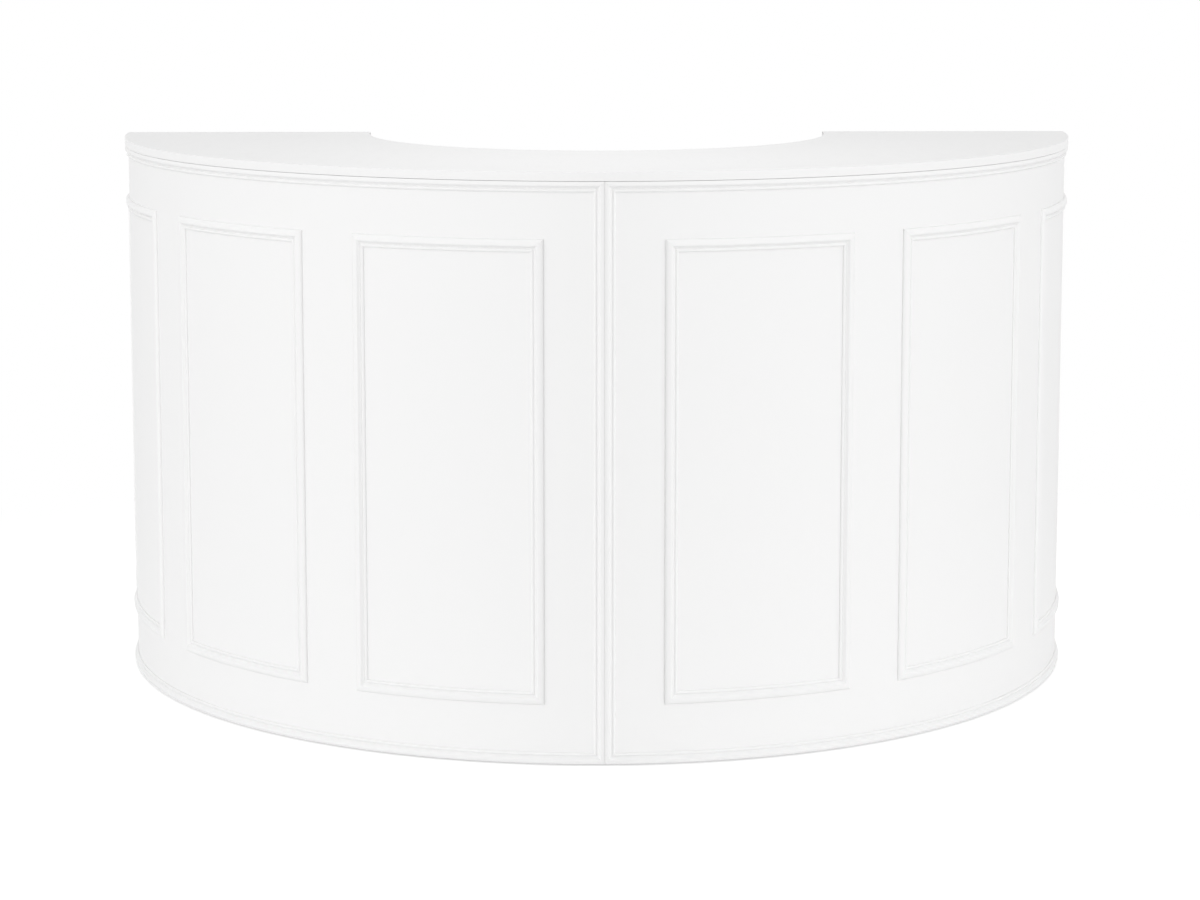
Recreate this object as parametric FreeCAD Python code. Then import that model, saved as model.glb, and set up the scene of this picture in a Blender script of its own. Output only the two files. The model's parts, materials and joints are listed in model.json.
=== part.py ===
# A half-round bar counter: two quarter-circle sections, each a curved cabinet open on its serving side.
# Millimetres, +Z up. The origin is on the floor, under the middle of the counter's box. The front is at -Y,
# the serving side at +Y, and the sections meet at X = 0.
import FreeCAD, Part
import math
import os

Vector = FreeCAD.Vector

# Counter top
HEIGHT = 1067.0
TOP_RADIUS = 954.0
TOP_THICKNESS = 16.0
CUTOUT_RADIUS = 461.0
CUTOUT_STRAIGHT = 22.0

# Cabinet boards
SEAM_GAP = 0.2
FLOOR_GAP = 4.0
BOARD = 18.0
SKIN_THICKNESS = 9.0
CABINET_INNER_RADIUS = 493.0
SHELF_SETBACK = 40.0
SHELF_TOP = 500.0
SHELF_HOUSING = 6.0
RIB_WIDTH = 80.0
RAIL_WIDTH = 60.0
DIVIDER_ANGLE = 45.0
GLUE_LINE = 0.1

# Mouldings: sizes of the profile from its thick edge to its thin edge, with heights above the skin
MOULD_PROJECTION = 7.0
MOULD_EDGE_HEIGHT = 2.0
NOSE_RUN = 10.4
CROWN_WIDTH = 0.4
OGEE_RUN = 5.2
OGEE_FOOT_HEIGHT = 2.8
GROOVE_WIDTH = 1.2
GROOVE_HEIGHT = 1.8
BEAD_WIDTH = 5.8
BEAD_HEIGHT = 4.0
BEAD_EDGE_HEIGHT = 2.2
ARC_FLATS = 3
BEAD_FLATS = 4
MITRE_OVERCUT = 6.0

# Edge strips: what is planed off their thick edge, and the gap left under the slab
EDGE_TRIM = 4.0
REVEAL = 0.6

# Panel frames: spaces along the skin from the seam to the end, and above and below
PANELS = 3
PANEL_START = 107.5
PANEL_GAP = 111.0
PANEL_END = 23.0
LAST_PANEL_EXTRA = 56.5
PANEL_FOOT_MARGIN = 88.0
PANEL_HEAD_MARGIN = 83.5

# Glides
GLIDE_RADIUS = 14.0
GLIDE_FOOT_RADIUS = 12.0
GLIDE_FRONT_INSET = 47.0
GLIDE_BACK_INSET = 40.0
GLIDE_FRONT_ANGLES = (5.0, 45.0, 85.0)
GLIDE_BACK_ANGLES = (10.0, 80.0)

# Seam dowels
DOWEL_RADIUS = 5.0
DOWEL_LENGTH = 30.0
DOWEL_NOSE = 1.5
DOWEL_FIT = 0.05
DOWEL_CLEARANCE = 0.3
DOWEL_END_GAP = 0.5
DOWEL_FRONT_INSET = 72.0
DOWEL_BACK_INSET = 140.0
DOWEL_LOWER_HEIGHT = 150.0
DOWEL_UPPER_HEIGHT = 900.0

# Clamp screws
CLAMP_INSET = 70.0
CLAMP_LOWER_HEIGHT = 270.0
CLAMP_UPPER_HEIGHT = 780.0
CLAMP_CLEARANCE = 0.2
STUD_RADIUS = 4.0
STUD_BORE_CLEARANCE = 0.5
STUD_TAIL = 6.0
STUD_SOCKET = 14.0
THREAD_CLEARANCE = 0.06
GRIP_RADIUS = 26.0
GRIP_THICKNESS = 14.0
GRIP_LOBES = 6
GRIP_FLUTE_RADIUS = 8.0
GRIP_FLUTE_DEPTH = 4.0
HUB_RADIUS = 11.0
HUB_LENGTH = 9.0
NUT_BARREL_RADIUS = 5.5
NUT_BARREL_LENGTH = 12.0
NUT_FLANGE_RADIUS = 12.0
NUT_FLANGE_THICKNESS = 2.0
NUT_FIT = 0.05

# Levels and radii that follow
CENTRE_Y = TOP_RADIUS / 2
SLAB_BOTTOM = HEIGHT - TOP_THICKNESS
STRIP_TOP = SLAB_BOTTOM - REVEAL
FRAME_WIDTH = NOSE_RUN + CROWN_WIDTH + OGEE_RUN + GROOVE_WIDTH + BEAD_WIDTH
STRIP_WIDTH = FRAME_WIDTH - EDGE_TRIM
SKIN_RADIUS = TOP_RADIUS - MOULD_PROJECTION
BOARD_RADIUS = SKIN_RADIUS - SKIN_THICKNESS - GLUE_LINE
SEAM_FACE = SEAM_GAP / 2
SEAM_PANEL_BACK = SEAM_FACE + BOARD
FLOOR_TOP = FLOOR_GAP + BOARD
SHELF_BOTTOM = SHELF_TOP - BOARD
RIB_BOTTOM = SLAB_BOTTOM - BOARD
SHELF_INNER_RADIUS = CABINET_INNER_RADIUS + SHELF_SETBACK
CLAMP_CIRCLE = CABINET_INNER_RADIUS + CLAMP_INSET
CLAMP_HEIGHTS = {"lower": CLAMP_LOWER_HEIGHT, "upper": CLAMP_UPPER_HEIGHT}

QUARTER = math.pi / 2
UP = Vector(0, 0, 1)
ALONG_X = Vector(1, 0, 0)
ORIGIN = Vector(0, 0, 0)


def polar(radius, angle, z=0.0):
    """A point at an angle, in radians, from the front towards +X, about the circle's centre."""
    return Vector(radius * math.sin(angle), -radius * math.cos(angle), z)


def line(start, end):
    return Part.LineSegment(start, end).toShape()


def arc(start, middle, end):
    return Part.Arc(start, middle, end).toShape()


def ring_board(inner, outer, from_seam, from_end, bottom, top):
    """A quarter ring between two planes, set in from the seam's plane and from the end's plane."""

    def on_seam(radius):
        return Vector(from_seam, -math.sqrt(radius**2 - from_seam**2), bottom)

    def on_end(radius):
        return Vector(math.sqrt(radius**2 - from_end**2), -from_end, bottom)

    def between(radius):
        return polar(radius, QUARTER / 2, bottom)

    outline = [
        arc(on_seam(outer), between(outer), on_end(outer)),
        line(on_end(outer), on_end(inner)),
        arc(on_end(inner), between(inner), on_seam(inner)),
        line(on_seam(inner), on_seam(outer)),
    ]
    return Part.Face(Part.Wire(outline)).extrude(UP * (top - bottom))


def counter_top():
    """A quarter of the slab: round outside, with a cut-out whose arc stops short of the back line."""
    arc_centre = Vector(0, -CUTOUT_STRAIGHT, SLAB_BOTTOM)
    seam_inner = arc_centre + Vector(SEAM_FACE, -math.sqrt(CUTOUT_RADIUS**2 - SEAM_FACE**2), 0)
    seam_outer = Vector(SEAM_FACE, -math.sqrt(TOP_RADIUS**2 - SEAM_FACE**2), SLAB_BOTTOM)
    arc_end = arc_centre + Vector(CUTOUT_RADIUS, 0, 0)
    back_inner = Vector(CUTOUT_RADIUS, 0, SLAB_BOTTOM)
    back_outer = Vector(TOP_RADIUS, 0, SLAB_BOTTOM)
    outline = [
        arc(seam_outer, polar(TOP_RADIUS, QUARTER / 2, SLAB_BOTTOM), back_outer),
        line(back_outer, back_inner),
        line(back_inner, arc_end),
        arc(arc_end, arc_centre + polar(CUTOUT_RADIUS, QUARTER / 2), seam_inner),
        line(seam_inner, seam_outer),
    ]
    return Part.Face(Part.Wire(outline)).extrude(UP * TOP_THICKNESS)


def upright_depth(corner_offset):
    """How far out an upright's square front edge reaches before its corner meets the skin."""
    return math.sqrt(BOARD_RADIUS**2 - corner_offset**2)


def seam_panel():
    reach = upright_depth(SEAM_PANEL_BACK)
    corner = Vector(SEAM_FACE, -reach, FLOOR_GAP)
    return Part.makeBox(BOARD, reach - CABINET_INNER_RADIUS, SLAB_BOTTOM - FLOOR_GAP, corner)


def end_panel():
    reach = upright_depth(BOARD)
    corner = Vector(CABINET_INNER_RADIUS, -BOARD, FLOOR_GAP)
    return Part.makeBox(reach - CABINET_INNER_RADIUS, BOARD, SLAB_BOTTOM - FLOOR_GAP, corner)


def divider(bottom, top):
    """An upright board on a radius, half way round the section."""
    reach = upright_depth(BOARD / 2)
    corner = Vector(-BOARD / 2, -reach, bottom)
    board = Part.makeBox(BOARD, reach - SHELF_INNER_RADIUS, top - bottom, corner)
    board.rotate(ORIGIN, UP, DIVIDER_ANGLE)
    return board


def level_arc(run, drop):
    """Points down an arc that leaves a level line: how far along and how far down, one flat between each two."""
    radius = (run**2 + drop**2) / (2 * drop)
    turn = math.atan2(run, radius - drop)
    turns = [turn * step / ARC_FLATS for step in range(ARC_FLATS + 1)]
    return [(radius * math.sin(angle), radius * (1 - math.cos(angle))) for angle in turns]


def moulding_outline(trim):
    """The moulding's section as points (distance from its thick edge, height above its back).

    From the thick edge: a nose that is a quarter of an ellipse, a level crown, an ogee, a fine groove and a
    bead, the curves planed in flats. The nose may be trimmed square.
    """
    crown = MOULD_PROJECTION - GLUE_LINE
    bead_start = FRAME_WIDTH - BEAD_WIDTH
    ogee_end = bead_start - GROOVE_WIDTH
    ogee_start = ogee_end - OGEE_RUN
    nose_start = math.acos(1 - trim / NOSE_RUN)
    half_ogee = level_arc(OGEE_RUN / 2, (crown - OGEE_FOOT_HEIGHT) / 2)
    bulge = BEAD_HEIGHT - (GROOVE_HEIGHT + BEAD_EDGE_HEIGHT) / 2
    points = [(trim, 0)]
    for step in range(ARC_FLATS + 1):
        angle = nose_start + (QUARTER - nose_start) * step / ARC_FLATS
        rise = (crown - MOULD_EDGE_HEIGHT) * math.sin(angle)
        points.append((NOSE_RUN * (1 - math.cos(angle)), MOULD_EDGE_HEIGHT + rise))
    points += [(ogee_start + along, crown - down) for along, down in half_ogee]
    points += [(ogee_end - along, OGEE_FOOT_HEIGHT + down) for along, down in reversed(half_ogee[:-1])]
    points.append((ogee_end, GROOVE_HEIGHT))
    for step in range(BEAD_FLATS + 1):
        share = step / BEAD_FLATS
        chord = GROOVE_HEIGHT + (BEAD_EDGE_HEIGHT - GROOVE_HEIGHT) * share
        points.append((bead_start + BEAD_WIDTH * share, chord + bulge * math.sin(math.pi * share)))
    points.append((FRAME_WIDTH, 0))
    return [(across - trim, height) for across, height in points]


def moulding_section(place, trim, back_is_arc):
    """The moulding's section as a face. place turns a point of the outline into a point in space."""
    points = [place(across, height) for across, height in moulding_outline(trim)]
    edges = [line(start, end) for start, end in zip(points, points[1:])]
    if back_is_arc:
        edges.append(arc(points[-1], place((FRAME_WIDTH - trim) / 2, 0), points[0]))
    else:
        edges.append(line(points[-1], points[0]))
    return Part.Face(Part.Wire(edges))


def rail(edge_z, inward, trim, start, end):
    """A moulding bent round the skin, with its thick edge at edge_z and its width running up or down."""

    def place(across, height):
        return polar(SKIN_RADIUS + GLUE_LINE + height, start, edge_z + inward * across)

    return moulding_section(place, trim, False).revolve(ORIGIN, UP, math.degrees(end - start))


def stile(edge_angle, inward, trim, bottom, top):
    """An upright moulding on the skin, with its thick edge at edge_angle and its width running round."""

    def place(across, height):
        return polar(SKIN_RADIUS + GLUE_LINE + height, edge_angle + inward * across / SKIN_RADIUS, bottom)

    return moulding_section(place, trim, True).extrude(UP * (top - bottom))


def mitre_waste(angle, round_inward, z, up_inward, of_rail):
    """The wedge that a 45 degree mitre takes off a rail's end, or off a stile's end, at a frame's corner."""
    past = MITRE_OVERCUT
    reach = FRAME_WIDTH + past
    across = Vector(math.cos(angle), math.sin(angle), 0) * round_inward
    up = UP * up_inward
    outward = polar(1, angle)
    corner = polar(SKIN_RADIUS - past, angle, z)
    near = corner - (across + up) * past
    far = corner + (across + up) * reach
    if of_rail:
        third = corner - across * past + up * reach
    else:
        third = corner + across * reach - up * past
    wedge = Part.Face(Part.makePolygon([near, far, third, near]))
    return wedge.extrude(outward * (MOULD_PROJECTION + 2 * past))


def mitred_frame(start, end, bottom, top, trim):
    """Four mitred lengths round a field of the skin: rails above and below, stiles to seam and to end.

    Each length starts a little past its corners, and the mitres then cut it to size.
    """
    spare = MITRE_OVERCUT / 2
    spare_angle = spare / SKIN_RADIUS
    lengths = {
        "bottom": rail(bottom, 1, trim, start - spare_angle, end + spare_angle),
        "top": rail(top, -1, trim, start - spare_angle, end + spare_angle),
        "seam": stile(start, 1, trim, bottom - spare, top + spare),
        "end": stile(end, -1, trim, bottom - spare, top + spare),
    }
    for angle, round_inward, side in ((start, 1, "seam"), (end, -1, "end")):
        for z, up_inward, level in ((bottom, 1, "bottom"), (top, -1, "top")):
            corner = (angle, round_inward, z, up_inward)
            lengths[level] = lengths[level].cut(mitre_waste(*corner, True))
            lengths[side] = lengths[side].cut(mitre_waste(*corner, False))
    return lengths


def edge_strips():
    start = math.asin(SEAM_FACE / SKIN_RADIUS)
    lengths = mitred_frame(start, QUARTER, FLOOR_GAP, STRIP_TOP, EDGE_TRIM)
    names = {"bottom": "base_strip", "top": "top_strip", "seam": "seam_strip", "end": "end_strip"}
    return {names[key]: length for key, length in lengths.items()}


def panel_frames():
    names = {"bottom": "bottom_rail", "top": "top_rail", "seam": "seam_side_stile", "end": "end_side_stile"}
    bottom = FLOOR_GAP + STRIP_WIDTH + PANEL_FOOT_MARGIN
    top = STRIP_TOP - STRIP_WIDTH - PANEL_HEAD_MARGIN
    spaces = PANEL_START + (PANELS - 1) * PANEL_GAP + LAST_PANEL_EXTRA + PANEL_END
    panel_width = (SKIN_RADIUS * QUARTER - spaces) / PANELS
    pieces = {}
    for number in range(PANELS):
        start = PANEL_START + number * (panel_width + PANEL_GAP)
        end = start + panel_width + (LAST_PANEL_EXTRA if number == PANELS - 1 else 0)
        angles = (start / SKIN_RADIUS, end / SKIN_RADIUS)
        for key, length in mitred_frame(*angles, bottom, top, trim=0).items():
            pieces[f"panel_{number + 1}_{names[key]}"] = length
    return pieces


def glides():
    places = [(BOARD_RADIUS - GLIDE_FRONT_INSET, angle) for angle in GLIDE_FRONT_ANGLES]
    places += [(CABINET_INNER_RADIUS + GLIDE_BACK_INSET, angle) for angle in GLIDE_BACK_ANGLES]
    discs = []
    for circle, angle in places:
        foot = polar(circle, math.radians(angle))
        discs.append(Part.makeCone(GLIDE_FOOT_RADIUS, GLIDE_RADIUS, FLOOR_GAP, foot, UP))
    return Part.makeCompound(discs)


def section_pieces():
    """The pieces of the right-hand section, about the circle's centre."""
    shelf = ring_board(
        SHELF_INNER_RADIUS,
        BOARD_RADIUS,
        SEAM_PANEL_BACK - SHELF_HOUSING,
        BOARD - SHELF_HOUSING,
        SHELF_BOTTOM,
        SHELF_TOP,
    )
    inside_seam = SEAM_PANEL_BACK
    inside_end = BOARD
    rib_inner = BOARD_RADIUS - RIB_WIDTH
    rail_outer = CABINET_INNER_RADIUS + RAIL_WIDTH
    pieces = {
        "counter_top": counter_top(),
        "front_skin": ring_board(
            SKIN_RADIUS - SKIN_THICKNESS, SKIN_RADIUS, SEAM_FACE, 0, FLOOR_GAP, SLAB_BOTTOM
        ),
        "seam_panel": seam_panel().cut(shelf),
        "end_panel": end_panel().cut(shelf),
        "base_plate": ring_board(
            CABINET_INNER_RADIUS, BOARD_RADIUS, inside_seam, inside_end, FLOOR_GAP, FLOOR_TOP
        ),
        "shelf": shelf,
        "top_rib": ring_board(rib_inner, BOARD_RADIUS, inside_seam, inside_end, RIB_BOTTOM, SLAB_BOTTOM),
        "inner_rail": ring_board(
            CABINET_INNER_RADIUS, rail_outer, inside_seam, inside_end, RIB_BOTTOM, SLAB_BOTTOM
        ),
        "lower_divider": divider(FLOOR_TOP, SHELF_BOTTOM),
        "upper_divider": divider(SHELF_TOP, RIB_BOTTOM),
        "glides": glides(),
    }
    pieces.update(edge_strips())
    pieces.update(panel_frames())
    return pieces


def bore(radius, circle, z, start, end):
    """A cylinder along X through the seam panels, at a distance behind the front and a height."""
    return Part.makeCylinder(radius, end - start, Vector(start, -circle, z), ALONG_X)


def dowel_places():
    circles = (CABINET_INNER_RADIUS + DOWEL_BACK_INSET, BOARD_RADIUS - DOWEL_FRONT_INSET)
    return [(circle, z) for circle in circles for z in (DOWEL_LOWER_HEIGHT, DOWEL_UPPER_HEIGHT)]


def seam_dowels():
    """Round pins, half in each seam panel, with a coned nose on the free end."""
    pins = []
    nose = DOWEL_LENGTH / 2 - DOWEL_NOSE
    for circle, z in dowel_places():
        shank = bore(DOWEL_RADIUS, circle, z, -DOWEL_LENGTH / 2, nose)
        tip = Part.makeCone(
            DOWEL_RADIUS, DOWEL_RADIUS - DOWEL_NOSE, DOWEL_NOSE, Vector(nose, -circle, z), ALONG_X
        )
        pins.append(shank.fuse(tip).removeSplitter())
    return Part.makeCompound(pins)


def drill_seam_panel(panel, is_left):
    """Blind dowel holes and clamp bores: the left panel holds the dowels, the right one the clamp nuts."""
    dowel_depth = DOWEL_LENGTH / 2 + DOWEL_END_GAP
    if is_left:
        dowel_bore = DOWEL_RADIUS + DOWEL_FIT
        dowel_ends = (-dowel_depth, -SEAM_FACE)
        clamp_bore = STUD_RADIUS + STUD_BORE_CLEARANCE
        clamp_ends = (-SEAM_PANEL_BACK, -SEAM_FACE)
    else:
        dowel_bore = DOWEL_RADIUS + DOWEL_CLEARANCE
        dowel_ends = (SEAM_FACE, dowel_depth)
        clamp_bore = NUT_BARREL_RADIUS + NUT_FIT
        clamp_ends = (SEAM_FACE, SEAM_PANEL_BACK)
    for circle, z in dowel_places():
        panel = panel.cut(bore(dowel_bore, circle, z, *dowel_ends))
    for z in CLAMP_HEIGHTS.values():
        panel = panel.cut(bore(clamp_bore, CLAMP_CIRCLE, z, *clamp_ends))
    return panel


def clamp_grip(z):
    """A lobed hand grip with a hub that bears on the left seam panel, and a blind hole for its stud."""
    hub_face = -SEAM_PANEL_BACK - CLAMP_CLEARANCE
    head_face = hub_face - HUB_LENGTH
    hub = bore(HUB_RADIUS, CLAMP_CIRCLE, z, head_face, hub_face)
    head = bore(GRIP_RADIUS, CLAMP_CIRCLE, z, head_face - GRIP_THICKNESS, head_face)
    flute_circle = GRIP_RADIUS + GRIP_FLUTE_RADIUS - GRIP_FLUTE_DEPTH
    for number in range(GRIP_LOBES):
        turn = 2 * math.pi * number / GRIP_LOBES
        place = Vector(
            head_face - GRIP_THICKNESS,
            -CLAMP_CIRCLE + flute_circle * math.cos(turn),
            z + flute_circle * math.sin(turn),
        )
        head = head.cut(Part.makeCylinder(GRIP_FLUTE_RADIUS, GRIP_THICKNESS, place, ALONG_X))
    socket = bore(STUD_RADIUS + THREAD_CLEARANCE, CLAMP_CIRCLE, z, hub_face - STUD_SOCKET, hub_face)
    return head.fuse(hub).removeSplitter().cut(socket)


def clamp_stud(z):
    hub_face = -SEAM_PANEL_BACK - CLAMP_CLEARANCE
    tail = SEAM_PANEL_BACK + NUT_FLANGE_THICKNESS + STUD_TAIL
    return bore(STUD_RADIUS, CLAMP_CIRCLE, z, hub_face - STUD_SOCKET, tail)


def clamp_nuts():
    """Flanged nuts, one for each clamp, let into the right seam panel from its inner face."""
    nuts = []
    for z in CLAMP_HEIGHTS.values():
        flange_end = SEAM_PANEL_BACK + NUT_FLANGE_THICKNESS
        flange = bore(NUT_FLANGE_RADIUS, CLAMP_CIRCLE, z, SEAM_PANEL_BACK, flange_end)
        barrel_start = SEAM_PANEL_BACK - NUT_BARREL_LENGTH
        barrel = bore(NUT_BARREL_RADIUS, CLAMP_CIRCLE, z, barrel_start, SEAM_PANEL_BACK)
        thread = bore(STUD_RADIUS + THREAD_CLEARANCE, CLAMP_CIRCLE, z, barrel_start, flange_end)
        nuts.append(barrel.fuse(flange).cut(thread))
    return Part.makeCompound(nuts)


def counter_pieces():
    """Every piece by its node's name, about the circle's centre."""
    pieces = {}
    for name, shape in section_pieces().items():
        pieces[f"right_{name}"] = shape
        pieces[f"left_{name}"] = shape.mirror(ORIGIN, ALONG_X)
    for side in ("left", "right"):
        name = f"{side}_seam_panel"
        pieces[name] = drill_seam_panel(pieces[name], side == "left")
    pieces["seam_dowels"] = seam_dowels()
    pieces["clamp_nuts"] = clamp_nuts()
    for level, z in CLAMP_HEIGHTS.items():
        pieces[f"{level}_clamp_grip"] = clamp_grip(z)
        pieces[f"{level}_clamp_stud"] = clamp_stud(z)
    return pieces


os.makedirs("parts", exist_ok=True)
for node, piece in counter_pieces().items():
    piece.translate(Vector(0, CENTRE_Y, 0))
    piece.exportStep(os.path.join("parts", f"{node}.step"))
    print(node, "solids", len(piece.Solids), "valid", piece.isValid(), "volume", round(piece.Volume))
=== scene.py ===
"""A white half-round bar counter, finished for the studio.

Metres, +Z up. The sections meet at X = 0, the curved front is at -Y and the serving side at +Y. Angles run
round the counter from the front, towards +X. The right-hand section is worked out, and the left one is its
mirror.
"""

import json
import math

import bpy
import numpy as np
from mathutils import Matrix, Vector

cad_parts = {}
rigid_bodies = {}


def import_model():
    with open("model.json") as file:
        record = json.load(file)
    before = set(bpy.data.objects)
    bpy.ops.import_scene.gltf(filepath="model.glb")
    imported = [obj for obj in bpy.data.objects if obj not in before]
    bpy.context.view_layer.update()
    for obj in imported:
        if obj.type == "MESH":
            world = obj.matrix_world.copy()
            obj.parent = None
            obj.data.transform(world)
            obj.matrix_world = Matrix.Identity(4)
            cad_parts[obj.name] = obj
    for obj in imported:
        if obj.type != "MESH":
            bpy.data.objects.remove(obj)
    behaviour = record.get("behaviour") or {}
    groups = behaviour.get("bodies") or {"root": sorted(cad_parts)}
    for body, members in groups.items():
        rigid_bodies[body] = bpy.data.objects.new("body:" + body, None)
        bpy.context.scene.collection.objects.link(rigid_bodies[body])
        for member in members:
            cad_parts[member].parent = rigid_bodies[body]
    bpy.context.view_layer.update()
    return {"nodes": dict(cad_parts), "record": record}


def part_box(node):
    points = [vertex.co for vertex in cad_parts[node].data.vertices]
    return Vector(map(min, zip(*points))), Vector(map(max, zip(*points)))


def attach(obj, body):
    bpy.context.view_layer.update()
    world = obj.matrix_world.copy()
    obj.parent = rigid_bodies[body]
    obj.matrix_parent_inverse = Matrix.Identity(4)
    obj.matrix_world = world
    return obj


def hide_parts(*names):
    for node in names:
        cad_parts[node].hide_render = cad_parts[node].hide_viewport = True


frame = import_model()

# What the frame says of each node
NODES = frame["nodes"]
SLOT_OF = {row["node"]: row["material_slot"] for row in frame["record"]["subparts"]}
BODY_OF = {node: body for body, nodes in frame["record"]["behaviour"]["bodies"].items() for node in nodes}

# The sections, as mirrors of the right-hand one, and the pieces of each
SIDES = {"right": (1, 1, 1), "left": (-1, 1, 1)}
RING_BOARDS = ("base_plate", "shelf", "top_rib", "inner_rail")
UPRIGHT_BOARDS = ("seam_panel", "end_panel", "lower_divider", "upper_divider")
SERVING_SIDE = ("front_skin", *RING_BOARDS, *UPRIGHT_BOARDS)
PANEL_LENGTHS = ("bottom_rail", "top_rail", "seam_side_stile", "end_side_stile")


def node_points(node):
    """The vertices of a CAD node, one row each."""
    vertices = NODES[node].data.vertices
    points = np.empty(len(vertices) * 3)
    vertices.foreach_get("co", points)
    return points.reshape(-1, 3)


# Sizes read from the frame
SLAB_LOW, SLAB_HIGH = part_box("right_counter_top")
CIRCLE_Y = SLAB_HIGH.y
TOP_RADIUS = SLAB_HIGH.x
SKIN_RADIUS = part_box("right_front_skin")[1].x
QUARTER = math.pi / 2

# Slab cut-out: an arc that stops short of the back line, then a short straight
CUTOUT_RADIUS = 0.461
CUTOUT_STRAIGHT = 0.022

# The slab halves are drawn tight, so their joint is a hairline
SEAM_FACE = 0.00002

# Eased edges of the boards
SLAB_EASE = 0.0007
BOARD_EASE = 0.0008
EASE_STEPS = 3
EASE_TURN = math.radians(75)
EASED_ANGLE = math.radians(50)
WELD_REACH = 0.000002
RING_STEPS = 120

# Edges that turn by more than these stay crisp, in degrees
SHARP_ANGLE = 40
GRIP_SHARP_ANGLE = 50
THREAD_SHARP_ANGLE = 75

# Moulding profile, from its thick edge to its thin edge, with heights above the skin
MOULD_CROWN = 0.0070
MOULD_BED = 0.00003
MOULD_EDGE_HEIGHT = 0.0020
NOSE_RUN = 0.0104
CROWN_WIDTH = 0.0004
OGEE_RUN = 0.0052
OGEE_FOOT_HEIGHT = 0.0028
GROOVE_WIDTH = 0.0012
GROOVE_HEIGHT = 0.0018
BEAD_WIDTH = 0.0058
BEAD_HEIGHT = 0.0040
BEAD_EDGE_HEIGHT = 0.0022
FRAME_WIDTH = NOSE_RUN + CROWN_WIDTH + OGEE_RUN + GROOVE_WIDTH + BEAD_WIDTH
CURVE_STEPS = 9
MITRE_HAIRLINE = 0.00012
MOULD_STEP = math.radians(0.75)

# Glides, measured in from the base plate's edges
GLIDE_FRONT_INSET = 0.047
GLIDE_BACK_INSET = 0.040
GLIDE_FRONT_ANGLES = np.radians([5, 45, 85])
GLIDE_BACK_ANGLES = np.radians([10, 80])
GLIDE_RADIUS = 0.014
GLIDE_FOOT_RADIUS = 0.012
GLIDE_ROUND = 0.0015

# Clamp screws
GRIP_LOBES = 6
GRIP_FLUTE_RADIUS = 0.008
GRIP_FLUTE_DEPTH = 0.004
GRIP_LOBE_BLEND = 0.0016
GRIP_THICKNESS = 0.014
GRIP_ROUND = 0.0035
GRIP_DISH = 0.0012
GRIP_FACE_RINGS = np.array([0.02, 0.2, 0.4, 0.6])
HUB_RADIUS = 0.011
HUB_ROUND = 0.0012
STUD_SOCKET = 0.014
THREAD_PITCH = 0.00125
THREAD_DEPTH = 0.00077
THREAD_STEPS = 8
THREAD_FLAT = 0.125
STUD_LEAD = 0.0010
THREAD_CLEARANCE = 0.00006
NUT_BARREL_RADIUS = 0.0055
NUT_FLANGE_THICKNESS = 0.002
NUT_ROUND = 0.0005

# Dowels
DOWEL_RADIUS = 0.005
DOWEL_FLUTES = 18
DOWEL_FLUTE_DEPTH = 0.0002
DOWEL_NOSE = 0.0015

# Points round a circle, and the radius of the ring that closes a round end
ROUND_SIDES = 48
GRIP_SIDES = 120
STUD_SIDES = 32
SIDES_PER_FLUTE = 6
TINY = 0.00005

# Camera, with the photograph taken to be 1200 pixels wide
PHOTO_WIDTH = 1200
FOCAL_PIXELS = 3159
SENSOR_WIDTH = 36
CAMERA_X = -0.095
CAMERA_DISTANCE = 6.451
CAMERA_HEIGHT = 1.548
CAMERA_YAW = 0.904
CAMERA_PITCH = 7.902
CAMERA_SHIFT = -0.098

# Floor, with its bounce, the paper that its seen shadow falls on and how far that shadow is kept
FLOOR_SIZE = 60.0
FLOOR_LEVEL = -0.0004
FLOOR_PAPER = 0.80
SHADOW_PAPER = 1.35
SHADOW_SHARE = 0.5
SHADOW_NEAR = 1.3
SHADOW_FAR = 2.4

# Light, with its directions in degrees from the front, towards each half's own side
AMBIENT = 0.73
BREADTH = math.radians(60)
ELEVATION = 12
FRONT_KEY_AZIMUTH = 25
FRONT_KEY_LEVEL = 0.355
SIDE_KEY_AZIMUTH = 65
SIDE_KEY_LEVEL = 0.09
BACK_FILL_AZIMUTH = -140
BACK_FILL_LEVEL = 0.32
OVERHEAD_PLACE = (0, -0.30, 1.95)
OVERHEAD_SIZE = 0.7
OVERHEAD_POWER = 1.65


# Finishes

# Sockets of a Mix node when it mixes colours
MIX_FIRST, MIX_SECOND, MIX_RESULT = 6, 7, 2


class Wire:
    """A node's output. Arithmetic on it adds Math nodes, so that shader maths reads as Python."""

    def __init__(self, shader, socket):
        self.shader = shader
        self.socket = socket

    def math(self, operation, *terms):
        return self.shader.node("Math", {"operation": operation}, dict(enumerate(terms)))

    def __add__(self, other):
        return self.math("ADD", self, other)

    def __sub__(self, other):
        return self.math("SUBTRACT", self, other)

    def __rsub__(self, other):
        return self.math("SUBTRACT", other, self)

    def __mul__(self, other):
        return self.math("MULTIPLY", self, other)

    def __abs__(self):
        return self.math("ABSOLUTE", self)

    __radd__ = __add__
    __rmul__ = __mul__


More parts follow.
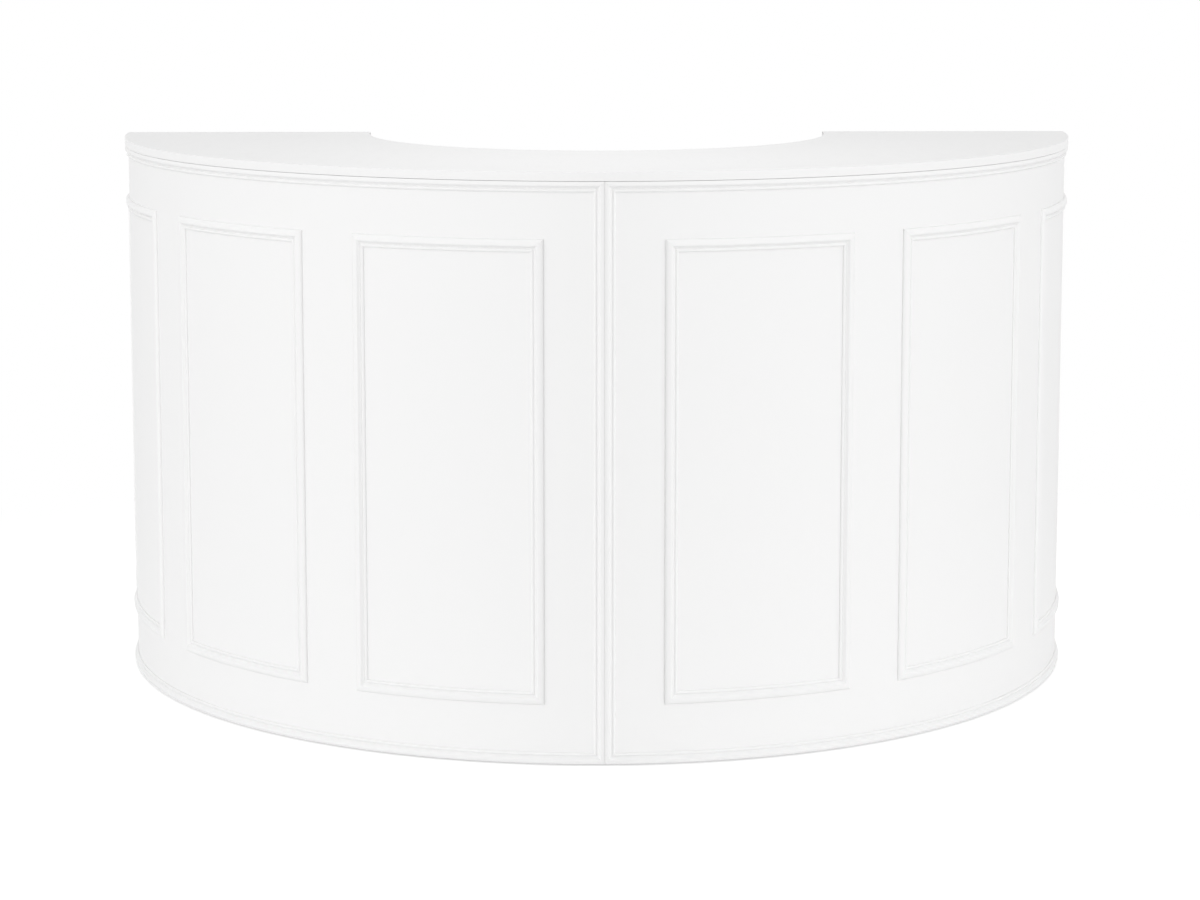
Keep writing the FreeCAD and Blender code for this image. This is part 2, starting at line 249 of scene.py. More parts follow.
class Shader:
    """A node tree under construction, for a finish, the floor or the world."""

    def __init__(self, owner):
        owner.use_nodes = True
        self.tree = owner.node_tree
        self.tree.nodes.clear()

    def node(self, kind, settings=None, sockets=None, output=0):
        """Adds a node of a kind: its settings are set first, and then its sockets get values or links."""
        made = self.tree.nodes.new("ShaderNode" + kind)
        for key, value in (settings or {}).items():
            setattr(made, key, value)
        for key, value in (sockets or {}).items():
            if isinstance(value, Wire):
                self.tree.links.new(value.socket, made.inputs[key])
            else:
                made.inputs[key].default_value = value
        return Wire(self, made.outputs[output]) if made.outputs else None

    def place(self):
        return self.node("TexCoord", output="Object")

    def noise(self, place, scale, detail=2.0):
        return self.node("TexNoise", sockets={"Vector": place, "Scale": scale, "Detail": detail})

    def stretched(self, place, scale):
        return self.node("Mapping", sockets={"Vector": place, "Scale": scale})

    def rise(self, value, low, high):
        """From 0 at low to 1 at high, smoothly."""
        return self.node(
            "MapRange",
            {"interpolation_type": "SMOOTHSTEP"},
            {"Value": value, "From Min": low, "From Max": high},
        )

    def blend(self, share, first, second):
        """A colour between two colours."""
        sockets = {0: share, MIX_FIRST: first, MIX_SECOND: second}
        return self.node("Mix", {"data_type": "RGBA"}, sockets, MIX_RESULT)

    def bump(self, height, distance):
        return self.node("Bump", sockets={"Height": height, "Distance": distance})

    def surface(self, **sockets):
        """The finish itself. Names of the shader's sockets are written with underscores."""
        named = {key.replace("_", " "): value for key, value in sockets.items()}
        return self.node("BsdfPrincipled", sockets=named)

    def output(self, kind, surface):
        self.node(kind, sockets={"Surface": surface})


def grey(value, warmth=0.0):
    """A linear colour that is nearly neutral. Warmth lowers the blue and, half as much, the green."""
    return (value, value * (1 - warmth / 2), value * (1 - warmth), 1)


def white_lacquer(shader):
    """Sprayed dull white: orange peel, a faint cloud in tone, painted shade in folds and scuffs near the
    floor.
    """
    place = shader.place()
    cloud = shader.noise(place, 1.6, 4)
    level = shader.node("SeparateXYZ", sockets={0: place}, output="Z")
    # How deep a point lies in a moulding's fold, which is darkened there as painted shade
    fold_shade = shader.node("Attribute", {"attribute_name": "crevice"}, output="Fac")
    scuff = shader.rise(shader.noise(shader.stretched(place, (1, 1, 5)), 28, 5), 0.52, 0.74)
    near_floor = 1 - shader.rise(level, 0.005, 0.11)
    # Painted shade in the folds, plus scuffs and soil near the floor
    soil = 0.04 * fold_shade + near_floor * (0.006 + 0.02 * scuff)
    paint = shader.blend(cloud, grey(0.865), grey(0.880, 0.004))
    return shader.surface(
        Base_Color=shader.blend(soil, paint, grey(0.40, 0.04)),
        Roughness=0.46 + 0.10 * cloud + 0.14 * soil,
        Normal=shader.bump(shader.noise(place, 260), 0.00001),
        IOR=1.33,
    )


def top_laminate(shader):
    """White faced slab: a fine pearl grain, a faint cloud in tone and the light rub marks of use."""
    place = shader.place()
    cloud = shader.noise(place, 2.1, 4)
    pearl = shader.noise(place, 900)
    rubbed = shader.rise(shader.noise(shader.stretched(place, (9, 2, 1)), 6, 6), 0.50, 0.80)
    return shader.surface(
        Base_Color=shader.blend(cloud, grey(0.845), grey(0.875, 0.004)),
        Roughness=0.34 + 0.08 * cloud + 0.10 * rubbed,
        Normal=shader.bump(pearl, 0.000005),
        IOR=1.47,
    )


def white_board(shader):
    """White faced board: a fine pearl grain, and a little soil near the floor."""
    place = shader.place()
    cloud = shader.noise(place, 2.6, 4)
    level = shader.node("SeparateXYZ", sockets={0: place}, output="Z")
    soil = (1 - shader.rise(level, 0.01, 0.16)) * shader.rise(shader.noise(place, 14, 5), 0.40, 0.75)
    paint = shader.blend(cloud, grey(0.825), grey(0.855, 0.006))
    return shader.surface(
        Base_Color=shader.blend(0.12 * soil, paint, grey(0.45, 0.12)),
        Roughness=0.42 + 0.10 * cloud,
        Normal=shader.bump(shader.noise(place, 700), 0.00003),
        IOR=1.46,
    )


def birch_plywood(shader):
    """Sealed birch plywood: fine grain along X on the faces, and light and dark plies on the edges."""
    place = shader.place()
    normal = shader.node("NewGeometry", output="Normal")
    face = shader.rise(abs(shader.node("SeparateXYZ", sockets={0: normal}, output="Z")), 0.5, 0.9)
    grain = shader.noise(shader.stretched(place, (4, 70, 70)), 3.0, 6)
    wavy = {"Vector": place, "Scale": 224.0, "Distortion": 1.2, "Detail": 3.0}
    plies = shader.node("TexWave", {"bands_direction": "Z"}, wavy, "Fac")
    faces = shader.blend(shader.rise(grain, 0.35, 0.68), (0.75, 0.59, 0.41, 1), (0.64, 0.47, 0.30, 1))
    edges = shader.blend(shader.rise(plies, 0.35, 0.65), (0.72, 0.56, 0.38, 1), (0.50, 0.35, 0.21, 1))
    return shader.surface(
        Base_Color=shader.blend(face, edges, faces),
        Roughness=0.48 + 0.14 * grain,
        Normal=shader.bump(grain, 0.0001),
    )


def beech(shader):
    """Plain turned beech: pale, with short dark flecks along X."""
    place = shader.place()
    grain = shader.noise(shader.stretched(place, (20, 260, 260)), 2.0, 5)
    fleck = shader.rise(shader.noise(shader.stretched(place, (90, 700, 700)), 3.0, 2), 0.62, 0.72)
    wood = shader.blend(grain, (0.72, 0.51, 0.32, 1), (0.60, 0.40, 0.24, 1))
    return shader.surface(
        Base_Color=shader.blend(0.5 * fleck, wood, (0.36, 0.20, 0.10, 1)),
        Roughness=0.55 + 0.12 * grain,
        Normal=shader.bump(grain, 0.0001),
    )


def black_phenolic(shader):
    """Moulded black grip: glossy, with handling marks that dull it in patches."""
    place = shader.place()
    handled = shader.rise(shader.noise(place, 60, 5), 0.40, 0.70)
    return shader.surface(
        Base_Color=shader.blend(handled, grey(0.016), grey(0.030)),
        Roughness=0.22 + 0.22 * handled,
        Normal=shader.bump(shader.noise(place, 800), 0.00002),
    )


def zinc_steel(shader):
    """Zinc plated steel: bright, with a faint blue and yellow cloud and fine dull speckle."""
    place = shader.place()
    cloud = shader.noise(place, 45, 3)
    speckle = shader.noise(place, 1500)
    return shader.surface(
        Base_Color=shader.blend(cloud, (0.60, 0.63, 0.66, 1), (0.68, 0.66, 0.58, 1)),
        Metallic=1.0,
        Roughness=0.24 + 0.12 * cloud + 0.10 * speckle,
        Normal=shader.bump(speckle, 0.00002),
    )


def glide_nylon(shader):
    """Dark moulded nylon, scuffed paler where it has slid."""
    place = shader.place()
    scuffed = shader.rise(shader.noise(shader.stretched(place, (1, 4, 4)), 110, 4), 0.45, 0.75)
    return shader.surface(
        Base_Color=shader.blend(scuffed, grey(0.075), grey(0.13)),
        Roughness=0.45 + 0.20 * scuffed,
        Normal=shader.bump(shader.noise(place, 900), 0.00004),
    )


def made_material(recipe):
    material = bpy.data.materials.new(recipe.__name__)
    shader = Shader(material)
    shader.output("OutputMaterial", recipe(shader))
    return material


FINISHES = {
    recipe.__name__: made_material(recipe)
    for recipe in (
        top_laminate,
        white_lacquer,
        white_board,
        birch_plywood,
        beech,
        black_phenolic,
        zinc_steel,
        glide_nylon,
    )
}


# Meshes from rings of points

def polar(radius, angle, z):
    """Points at a radius and an angle from the front, towards +X, about the middle of the half circle."""
    radius, angle, z = np.broadcast_arrays(radius, angle, z)
    return np.stack([radius * np.sin(angle), CIRCLE_Y - radius * np.cos(angle), z], axis=-1)


def shell_faces(stations, ring, looped):
    """Four-sided faces between neighbouring rings. Rings that don't loop end in a flat cap each."""
    row = np.arange(stations if looped else stations - 1)[:, None]
    column = np.arange(ring)[None]
    above = (row + 1) % stations
    beside = (column + 1) % ring
    corners = [row * ring + column, row * ring + beside, above * ring + beside, above * ring + column]
    faces = np.stack(corners, axis=-1).reshape(-1, 4).tolist()
    if not looped:
        faces.append(np.arange(ring)[::-1].tolist())
        faces.append((np.arange(ring) + (stations - 1) * ring).tolist())
    return faces


def facing_out(points, looped):
    """The rings in the order whose faces point outwards: the volume that the faces enclose is positive."""
    about = points - points.mean(axis=(0, 1))
    here = about if looped else about[:-1]
    above = np.roll(about, -1, axis=0) if looped else about[1:]
    beside = np.roll(here, -1, axis=1)
    far = np.roll(above, -1, axis=1)
    volume = np.sum(here * (np.cross(beside, far) + np.cross(far, above)))
    return points if volume > 0 else points[:, ::-1]


def add_piece(node, shells, looped=False, sharp_angle=SHARP_ANGLE, crevice=None):
    """One finished piece from shells of rings. It stands for its CAD node and rides on that node's body.

    Each point of a ring may get a depth in a fold, from 0 to 1, where the lacquer paints shade.
    """
    vertices, faces, depths = [], [], []
    start = 0
    for points in shells:
        turned = facing_out(points, looped)
        stations, ring = turned.shape[:2]
        faces += [[corner + start for corner in face] for face in shell_faces(stations, ring, looped)]
        vertices.append(turned.reshape(-1, 3))
        if crevice is not None:
            depth = crevice if turned is points else crevice[::-1]
            depths.append(np.tile(depth, stations))
        start += stations * ring
    mesh = bpy.data.meshes.new(node + "_finished")
    mesh.from_pydata(np.concatenate(vertices), [], faces)
    mesh.polygons.foreach_set("use_smooth", np.ones(len(mesh.polygons), dtype=bool))
    mesh.set_sharp_from_angle(angle=math.radians(sharp_angle))
    # Fold depths go on the mesh for the lacquer's painted shade
    if crevice is not None:
        attribute = mesh.attributes.new("crevice", "FLOAT", "POINT")
        attribute.data.foreach_set("value", np.concatenate(depths).astype(np.float32))
    mesh.materials.append(FINISHES[SLOT_OF[node]])
    piece = bpy.data.objects.new(node + "_finished", mesh)
    bpy.context.scene.collection.objects.link(piece)
    even = piece.modifiers.new("even_normals", "WEIGHTED_NORMAL")
    even.keep_sharp = True
    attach(piece, BODY_OF[node])
    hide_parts(node)
    return piece


def add_on_both_sides(name, shells, **looks):
    """The same piece on the right-hand section and, mirrored, on the left-hand one."""
    for side, mirror in SIDES.items():
        add_piece(f"{side}_{name}", [points * mirror for points in shells], **looks)


# Boards with eased edges

def board_stations(ease, steps, crisp_start=False):
    """Rings along a board: share of its length, an offset to add to that, and how far the ring is drawn in.

    The last few rings follow a quarter round, so that the end is eased as the long edges are. So do the
    first few, unless the start is crisp, as where two boards meet.
    """
    turn = np.linspace(EASE_TURN, 0, EASE_STEPS, endpoint=False)
    end_distance = ease * (1 - np.sin(turn) / math.sin(EASE_TURN))
    end_inset = ease * (1 - np.cos(turn))
    along = np.linspace(0, 1, steps + 1)
    share = np.concatenate([along, np.ones(EASE_STEPS)])
    inset = np.concatenate([np.zeros(steps + 1), end_inset[::-1]])
    if crisp_start:
        offset = np.concatenate([-ease * along, -end_distance[::-1]])
    else:
        offset = np.concatenate([end_distance, ease * (1 - 2 * along), -end_distance[::-1]])
        share = np.concatenate([np.zeros(EASE_STEPS), share])
        inset = np.concatenate([end_inset, inset])
    return share[:, None], offset[:, None], inset[:, None]


def eased_section(width, height, ease, inset):
    """A rectangle with rounded corners, a ring for each inset, as offsets across and up from its middle."""
    turn = np.linspace(0, QUARTER, EASE_STEPS + 1)
    angle = (turn + QUARTER * np.arange(4)[:, None]).ravel()
    across_side = np.repeat([1, -1, -1, 1], EASE_STEPS + 1)
    up_side = np.repeat([1, 1, -1, -1], EASE_STEPS + 1)
    across = across_side * (width / 2 - ease) + (ease - inset) * np.cos(angle)
    up = up_side * (height / 2 - ease) + (ease - inset) * np.sin(angle)
    return across, up


def ring_board(name, ease, crisp_start=False):
    """A quarter ring from the seam's plane to the end's plane: an eased section carried round the circle."""
    x, y, z = node_points(f"right_{name}").T
    from_centre = np.hypot(x, y - CIRCLE_Y)
    inner, outer = from_centre.min(), from_centre.max()
    share, offset, inset = board_stations(ease, RING_STEPS, crisp_start)
    across, up = eased_section(outer - inner, z.max() - z.min(), ease, inset)
    radius = (inner + outer) / 2 + across
    first = np.arcsin(x.min() / radius)
    last = np.arccos((CIRCLE_Y - y.max()) / radius)
    angle = first + share * (last - first) + offset / radius
    add_on_both_sides(name, [polar(radius, angle, (z.min() + z.max()) / 2 + up)])


def counter_top():
    """A quarter of the slab: an eased section, its outer end on the rim and its inner end on the cut-out.

    The rim is an arc. The cut-out is an arc about a point a little forward of the rim's middle, and then a
    straight.
    """
    share, offset, inset = board_stations(SLAB_EASE, RING_STEPS, crisp_start=True)
    width = TOP_RADIUS - CUTOUT_RADIUS
    across, up = eased_section(width, SLAB_HIGH.z - SLAB_LOW.z, SLAB_EASE, inset)
    level = (SLAB_LOW.z + SLAB_HIGH.z) / 2 + up
    first = math.asin(SEAM_FACE / TOP_RADIUS)
    rim = polar(TOP_RADIUS, first + share * (QUARTER - first) + offset / TOP_RADIUS, level)
    arc_start = math.asin(SEAM_FACE / CUTOUT_RADIUS)
    arc_length = CUTOUT_RADIUS * (QUARTER - arc_start)
    run = share * (arc_length + CUTOUT_STRAIGHT) + offset
    cutout = polar(CUTOUT_RADIUS, np.minimum(arc_start + run / CUTOUT_RADIUS, QUARTER), level)
    cutout[..., 1] += np.maximum(run - arc_length, 0) - CUTOUT_STRAIGHT
    outward = (across / width + 0.5)[..., None]
    add_on_both_sides("counter_top", [cutout + outward * (rim - cutout)])


def divider(name):
    """An upright board on a radius: an eased section, depth by thickness, carried straight up."""
    points = node_points(f"right_{name}")
    x, y = points[:, 0], points[:, 1] - CIRCLE_Y
    bottom, top = points[:, 2].min(), points[:, 2].max()
    heading = math.atan2(x.mean(), -y.mean())
    depth = x * math.sin(heading) - y * math.cos(heading)
    aside = x * math.cos(heading) + y * math.sin(heading)
    share, offset, inset = board_stations(BOARD_EASE, 1)
    across, up = eased_section(np.ptp(depth), np.ptp(aside), BOARD_EASE, inset)
    out = (depth.min() + depth.max()) / 2 + across
    level = bottom + share * (top - bottom) + offset
    board = np.stack(
        [
            out * math.sin(heading) + up * math.cos(heading),
            CIRCLE_Y - out * math.cos(heading) + up * math.sin(heading),
            np.broadcast_to(level, out.shape),
        ],
        axis=-1,
    )
    add_on_both_sides(name, [board])


# Mouldings

def moulding_profile(width):
    """The moulding's outline as distance from its thick edge, height above the skin and crevice depth for
    painted shade.

    The nose is a quarter of an ellipse up to a level crown, less what is trimmed off a narrower length. The
    ogee is half a cosine wave down to a fine groove. The bead is half a sine wave over the slope from the
    groove to the thin edge. The back lies on the skin.
    """
    share = np.linspace(0, 1, CURVE_STEPS)
    trim = max(FRAME_WIDTH - width, 0)
    turn = np.linspace(math.acos(1 - trim / NOSE_RUN), QUARTER, CURVE_STEPS)
    bead_start = width - BEAD_WIDTH
    ogee_end = bead_start - GROOVE_WIDTH
    nose_across = NOSE_RUN * (1 - np.cos(turn)) - trim
    nose_height = MOULD_EDGE_HEIGHT + (MOULD_CROWN - MOULD_EDGE_HEIGHT) * np.sin(turn)
    ogee_across = ogee_end - OGEE_RUN * (1 - share)
    ogee_height = OGEE_FOOT_HEIGHT + (MOULD_CROWN - OGEE_FOOT_HEIGHT) * (1 + np.cos(share * math.pi)) / 2
    bead_across = bead_start + BEAD_WIDTH * share
    bead_slope = GROOVE_HEIGHT + (BEAD_EDGE_HEIGHT - GROOVE_HEIGHT) * share
    bulge = BEAD_HEIGHT - (GROOVE_HEIGHT + BEAD_EDGE_HEIGHT) / 2
    bead_height = bead_slope + bulge * np.sin(share * math.pi)
    across = np.concatenate([[0], nose_across, ogee_across, [ogee_end], bead_across, [width]])
    height = np.concatenate(
        [[MOULD_BED], nose_height, ogee_height, [GROOVE_HEIGHT], bead_height, [MOULD_BED]]
    )
    # Deeper in a fold means more painted shade from the lacquer
    crevice = np.clip(1 - height / OGEE_FOOT_HEIGHT, 0, 1)
    return across, height, crevice


def rail(edge_z, inward, width, start, end):
    """A moulding bent round the skin, thick edge at edge_z and longest, so that its ends are mitred."""
    across, height, crevice = moulding_profile(width)
    cut_back = (across + MITRE_HAIRLINE / 2) / SKIN_RADIUS
    share = np.linspace(0, 1, math.ceil((end - start) / MOULD_STEP) + 1)[:, None]
    angle = start + cut_back + share * (end - start - 2 * cut_back)
    return polar(SKIN_RADIUS + height, angle, edge_z + inward * across), crevice


def stile(edge_angle, inward, width, bottom, top):
    """An upright moulding on the skin, thick edge at edge_angle, its two ends mitred."""
    across, height, crevice = moulding_profile(width)
    cut_back = across + MITRE_HAIRLINE / 2
    share = np.array([[0], [1]])
    level = bottom + cut_back + share * (top - bottom - 2 * cut_back)
    return polar(SKIN_RADIUS + height, edge_angle + inward * across / SKIN_RADIUS, level), crevice


def mitred_frame(bottom_name, top_name, seam_name, end_name):
    """Four mitred lengths round a field of the skin, with the field's limits read from the CAD lengths."""
    bottom_low, bottom_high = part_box(f"right_{bottom_name}")
    top_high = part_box(f"right_{top_name}")[1]
    seam_points = node_points(f"right_{seam_name}")
    end_points = node_points(f"right_{end_name}")
    start = np.arctan2(seam_points[:, 0], CIRCLE_Y - seam_points[:, 1]).min()
    end = np.arctan2(end_points[:, 0], CIRCLE_Y - end_points[:, 1]).max()
    width = bottom_high.z - bottom_low.z
    lengths = {
        bottom_name: rail(bottom_low.z, 1, width, start, end),
        top_name: rail(top_high.z, -1, width, start, end),
        seam_name: stile(start, 1, width, bottom_low.z, top_high.z),
        end_name: stile(end, -1, width, bottom_low.z, top_high.z),
    }
    for name, (points, crevice) in lengths.items():
        add_on_both_sides(name, [points], crevice=crevice)


# Turned and moulded hardware

def turns(count):
    return np.linspace(0, 2 * math.pi, count, endpoint=False)


def around_x(x, radius, angle, y, z):
    """Rings about a line along X, through y and z."""
    x, radius, angle = np.broadcast_arrays(x, radius, angle)
    return np.stack([x, y + radius * np.cos(angle), z + radius * np.sin(angle)], axis=-1)


def glides():
    """Round feet: a flat sole with a rounded rim, widening upwards to the base plate."""
    low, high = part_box("right_glides")
    plate = node_points("right_base_plate")
    plate_radius = np.hypot(plate[:, 0], plate[:, 1] - CIRCLE_Y)
    turn = np.linspace(0, QUARTER, CURVE_STEPS)
    sole = GLIDE_FOOT_RADIUS - GLIDE_ROUND
    radius = np.concatenate([[TINY], sole + GLIDE_ROUND * np.sin(turn), [GLIDE_RADIUS, TINY]])
    level = np.concatenate([[low.z], low.z + GLIDE_ROUND * (1 - np.cos(turn)), [high.z, high.z]])
    angle = turns(ROUND_SIDES)
    circles = [(plate_radius.max() - GLIDE_FRONT_INSET, place) for place in GLIDE_FRONT_ANGLES]
    circles += [(plate_radius.min() + GLIDE_BACK_INSET, place) for place in GLIDE_BACK_ANGLES]
    feet = []
    for circle, place in circles:
        x, y, _ = polar(circle, place, 0.0)
        rings = [x + radius[:, None] * np.cos(angle), y + radius[:, None] * np.sin(angle)]
        feet.append(np.stack([*rings, np.broadcast_to(level[:, None], rings[0].shape)], axis=-1))
    add_on_both_sides("glides", feet)


def lobed_radius(angle, radius):
    """A circle with round flutes cut out of it: the smaller of the two radii, blended where they meet."""
    pitch = 2 * math.pi / GRIP_LOBES
    aside = (angle + pitch / 2) % pitch - pitch / 2
    flute_circle = radius + GRIP_FLUTE_RADIUS - GRIP_FLUTE_DEPTH
    inside = GRIP_FLUTE_RADIUS**2 - (flute_circle * np.sin(aside)) ** 2
    flute = flute_circle * np.cos(aside) - np.sqrt(np.maximum(inside, 0))
    flute = np.where(inside > 0, flute, 2 * radius)
    mix = np.clip(0.5 + (flute - radius) / (2 * GRIP_LOBE_BLEND), 0, 1)
    return flute + mix * (radius - flute) - GRIP_LOBE_BLEND * mix * (1 - mix)


def clamp_grip(node):
    """A lobed hand grip: rings from the dished face, over rounded rims, down the hub and up its socket.

    Each ring's radius is a share of the lobed outline plus an amount that is the same all round.
    """
    low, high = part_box(node)
    y, z = (low.y + high.y) / 2, (low.z + high.z) / 2
    stud_low, stud_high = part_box(node.replace("grip", "stud"))
    socket_radius = (stud_high.z - stud_low.z) / 2 + THREAD_CLEARANCE
    back = low.x + GRIP_THICKNESS
    turn = np.linspace(0, QUARTER, CURVE_STEPS)
    face_x = low.x + GRIP_DISH * (1 - (GRIP_FACE_RINGS / GRIP_FACE_RINGS[-1]) ** 2)
    hub_turn = turn[::2]
    x = np.concatenate(
        [
            face_x,
            low.x + GRIP_ROUND * (1 - np.cos(turn)),
            back - GRIP_ROUND * (1 - np.sin(turn)),
            back + HUB_ROUND * (1 - np.cos(hub_turn)),
            high.x - HUB_ROUND * (1 - np.sin(hub_turn)),
            [high.x, high.x - STUD_SOCKET, high.x - STUD_SOCKET],
        ]
    )
    lobed = np.concatenate([GRIP_FACE_RINGS, np.ones(2 * CURVE_STEPS), np.zeros(2 * len(hub_turn) + 3)])
    plain = np.concatenate(
        [
            np.zeros(len(GRIP_FACE_RINGS)),
            -GRIP_ROUND * (1 - np.sin(turn)),
            -GRIP_ROUND * (1 - np.cos(turn)),
            HUB_RADIUS + HUB_ROUND * (1 - np.sin(hub_turn)),
            HUB_RADIUS - HUB_ROUND * (1 - np.cos(hub_turn)),
            [socket_radius, socket_radius, TINY],
        ]
    )
    angle = turns(GRIP_SIDES)
    outline = lobed_radius(angle, (high.z - low.z) / 2)
    radius = lobed[:, None] * outline + plain[:, None]
    add_piece(node, [around_x(x[:, None], radius, angle, y, z)], sharp_angle=GRIP_SHARP_ANGLE)


def clamp_stud(node):
    """A threaded rod: the radius falls from crest to root and back once each pitch, along a helix.

    A share of each half turn is flat at the crest and at the root, and the ends are coned down to the root.
    """
    low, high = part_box(node)
    crest = (high.z - low.z) / 2
    x = np.arange(low.x, high.x, THREAD_PITCH / THREAD_STEPS)
    x = np.concatenate([x, [high.x]])[:, None]
    angle = turns(STUD_SIDES)
    phase = x / THREAD_PITCH - angle / (2 * math.pi)
    wave = np.abs(2 * (phase % 1) - 1)
    radius = crest - THREAD_DEPTH * np.clip((1 + 2 * THREAD_FLAT) * wave - THREAD_FLAT, 0, 1)
    lead = np.minimum(np.minimum(x - low.x, high.x - x) / STUD_LEAD, 1)
    radius = np.minimum(radius, crest - THREAD_DEPTH * (1 - lead))
    points = around_x(x, radius, angle, (low.y + high.y) / 2, (low.z + high.z) / 2)
    add_piece(node, [points], sharp_angle=THREAD_SHARP_ANGLE)


def clamp_nuts():
    """Flanged nuts: a closed outline, flange and barrel outside and hole inside, spun about each stud."""
    low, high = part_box("clamp_nuts")
    stud_low, stud_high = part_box("upper_clamp_stud")
    flange_radius = (high.y - low.y) / 2
    hole = (stud_high.z - stud_low.z) / 2 + THREAD_CLEARANCE
    flange_start = high.x - NUT_FLANGE_THICKNESS
    turn = np.linspace(0, QUARTER, CURVE_STEPS)
    x = np.concatenate(
        [
            [low.x, low.x, flange_start, flange_start],
            high.x - NUT_ROUND * (1 - np.sin(turn)),
            [high.x],
        ]
    )
    radius = np.concatenate(
        [
            [hole, NUT_BARREL_RADIUS, NUT_BARREL_RADIUS, flange_radius],
            flange_radius - NUT_ROUND * (1 - np.cos(turn)),
            [hole],
        ]
    )
    angle = turns(ROUND_SIDES)[:, None]
    y = (low.y + high.y) / 2
    levels = (low.z + flange_radius, high.z - flange_radius)
    add_piece("clamp_nuts", [around_x(x, radius, angle, y, z) for z in levels], looped=True)


def seam_dowels():
    """Round pins with fine flutes along them, and a coned nose at the free end."""
    low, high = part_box("seam_dowels")
    radius = DOWEL_RADIUS
    x = np.array([low.x, high.x - DOWEL_NOSE, high.x])[:, None]
    angle = turns(SIDES_PER_FLUTE * DOWEL_FLUTES)
    fluted = radius - DOWEL_FLUTE_DEPTH * (1 + np.cos(DOWEL_FLUTES * angle)) / 2
    nose = np.array([0, 0, DOWEL_NOSE])[:, None]
    pins = []
    for y in (low.y + radius, high.y - radius):
        for z in (low.z + radius, high.z - radius):
            pins.append(around_x(x, fluted - nose, angle, y, z))
    add_piece("seam_dowels", pins)


# The counter

def finish_shown_nodes():
    """CAD boards that stay as they are, with their housings and holes: eased a little and given a finish."""
    for node, board in NODES.items():
        if board.hide_render:
            continue
        board.data.materials.clear()
        board.data.materials.append(FINISHES[SLOT_OF[node]])
        weld = board.modifiers.new("weld", "WELD")
        weld.merge_threshold = WELD_REACH
        ease = board.modifiers.new("ease", "BEVEL")
        ease.width = BOARD_EASE
        ease.segments = EASE_STEPS
        ease.limit_method = "ANGLE"
        ease.angle_limit = EASED_ANGLE
        even = board.modifiers.new("even_normals", "WEIGHTED_NORMAL")
        even.keep_sharp = True


counter_top()
ring_board("front_skin", BOARD_EASE, crisp_start=True)
for board in RING_BOARDS:
    ring_board(board, BOARD_EASE)
for level in ("lower", "upper"):
    divider(f"{level}_divider")
    clamp_grip(f"{level}_clamp_grip")
    clamp_stud(f"{level}_clamp_stud")
mitred_frame("base_strip", "top_strip", "seam_strip", "end_strip")
for number in (1, 2, 3):
    mitred_frame(*[f"panel_{number}_{length}" for length in PANEL_LENGTHS])
glides()
clamp_nuts()
seam_dowels()
finish_shown_nodes()


# Studio

def seen_rays(shader):
    """1 for rays that look at the surface straight, in a reflection or through glass, and 0 for light."""
    looks = ("Is Camera Ray", "Is Glossy Ray", "Is Transmission Ray")
    camera, glossy, through = [shader.node("LightPath", output=look) for look in looks]
    direct = camera + glossy
    return direct.math("MAXIMUM", direct, through)


def studio_floor():
    """A pale floor, white where it is seen, that keeps the counter's soft shadow near the counter."""
    half = FLOOR_SIZE / 2
    corners = [(-half, -half, FLOOR_LEVEL), (half, -half, FLOOR_LEVEL), (half, half, FLOOR_LEVEL)]
    corners.append((-half, half, FLOOR_LEVEL))
    mesh = bpy.data.meshes.new("studio_floor")
    mesh.from_pydata(corners, [], [(0, 1, 2, 3)])
    material = bpy.data.materials.new("studio_floor")
    shader = Shader(material)
    reach = shader.node("VectorMath", {"operation": "LENGTH"}, {0: shader.place()}, "Value")
    shadowed = SHADOW_SHARE * (1 - shader.rise(reach, SHADOW_NEAR, SHADOW_FAR))
    white = shader.node("Emission", sockets={"Color": grey(1), "Strength": 1.0})
    lit = shader.node("BsdfDiffuse", sockets={"Color": grey(SHADOW_PAPER)})
    pale = shader.node("BsdfDiffuse", sockets={"Color": grey(FLOOR_PAPER)})
    seen = shader.node("MixShader", sockets={0: shadowed, 1: white, 2: lit})
    mixed = shader.node("MixShader", sockets={0: seen_rays(shader), 1: pale, 2: seen})
    shader.output("OutputMaterial", mixed)
    mesh.materials.append(material)
    floor = bpy.data.objects.new("studio_floor", mesh)
    bpy.context.scene.collection.objects.link(floor)
    return floor


def studio_world():
    """Even light from all round, and white where the world is seen."""
    world = bpy.data.worlds.new("studio")
    shader = Shader(world)
    light = shader.node("Background", sockets={"Color": grey(1), "Strength": AMBIENT})
    white = shader.node("Background", sockets={"Color": grey(1), "Strength": 1.0})
    mixed = shader.node("MixShader", sockets={0: seen_rays(shader), 1: light, 2: white})
    shader.output("OutputWorld", mixed)
    bpy.context.scene.world = world


def named(start):
    """The counter's pieces whose names start so."""
    things = bpy.context.scene.objects
    return [thing for thing in things if thing.type == "MESH" and thing.name.startswith(start)]


def add_light(lamp, things):
    """Puts a lamp in the scene, kept to some things and out of what the camera and reflections see."""
    light = bpy.data.objects.new(lamp.name, lamp)
    light.visible_camera = False
    light.visible_glossy = False
    receivers = bpy.data.collections.new(lamp.name)
    for thing in things:
        receivers.objects.link(thing)
    light.light_linking.receiver_collection = receivers
    bpy.context.scene.collection.objects.link(light)
    return light


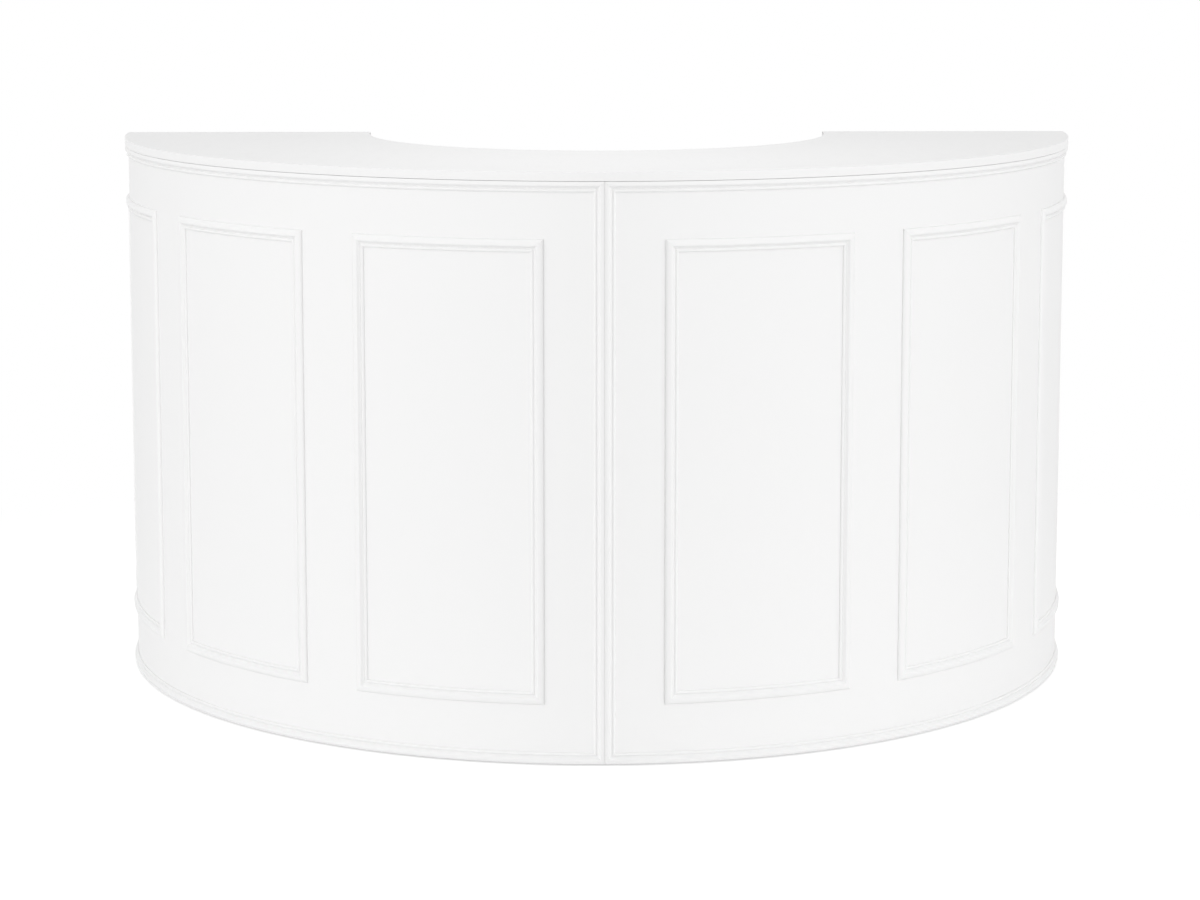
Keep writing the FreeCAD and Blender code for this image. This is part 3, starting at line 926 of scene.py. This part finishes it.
def broad_light(name, things, azimuth, level):
    """A broad light from far away. level is what it adds to a white surface that faces it."""
    lamp = bpy.data.lights.new(name, "SUN")
    lamp.energy = level * math.pi
    lamp.angle = BREADTH
    around, up = math.radians(azimuth), math.radians(ELEVATION)
    towards = Vector((math.sin(around) * math.cos(up), -math.cos(around) * math.cos(up), math.sin(up)))
    add_light(lamp, things).rotation_euler = towards.to_track_quat("Z", "Y").to_euler()


def overhead_light(things):
    """A round soft light over the middle of the slab, facing down."""
    lamp = bpy.data.lights.new("overhead", "AREA")
    lamp.shape = "DISK"
    lamp.size = OVERHEAD_SIZE
    lamp.energy = OVERHEAD_POWER
    add_light(lamp, things).location = OVERHEAD_PLACE


def photo_camera():
    """Where the photograph was taken from, found by fitting the outlines of the slab and the base."""
    lens = bpy.data.cameras.new("photo_camera")
    lens.sensor_width = SENSOR_WIDTH
    lens.lens = FOCAL_PIXELS / PHOTO_WIDTH * SENSOR_WIDTH
    lens.shift_y = CAMERA_SHIFT
    yaw, pitch = math.radians(CAMERA_YAW), math.radians(CAMERA_PITCH)
    aim = Vector((math.sin(yaw) * math.cos(pitch), math.cos(yaw) * math.cos(pitch), -math.sin(pitch)))
    camera = bpy.data.objects.new("photo_camera", lens)
    camera.location = (CAMERA_X, CIRCLE_Y - CAMERA_DISTANCE, CAMERA_HEIGHT)
    camera.rotation_euler = aim.to_track_quat("-Z", "Y").to_euler()
    bpy.context.scene.collection.objects.link(camera)
    bpy.context.scene.camera = camera


floor = studio_floor()
studio_world()
for side, (outward, _, _) in SIDES.items():
    half = [floor, *named(f"{side}_")]
    inside = [piece for board in SERVING_SIDE for piece in named(f"{side}_{board}")]
    broad_light(f"{side}_front_key", half, outward * FRONT_KEY_AZIMUTH, FRONT_KEY_LEVEL)
    broad_light(f"{side}_side_key", half, outward * SIDE_KEY_AZIMUTH, SIDE_KEY_LEVEL)
    broad_light(f"{side}_back_fill", inside, outward * BACK_FILL_AZIMUTH, BACK_FILL_LEVEL)
overhead_light([*named("right_counter_top"), *named("left_counter_top")])
photo_camera()
bpy.context.scene.view_settings.view_transform = "Standard"
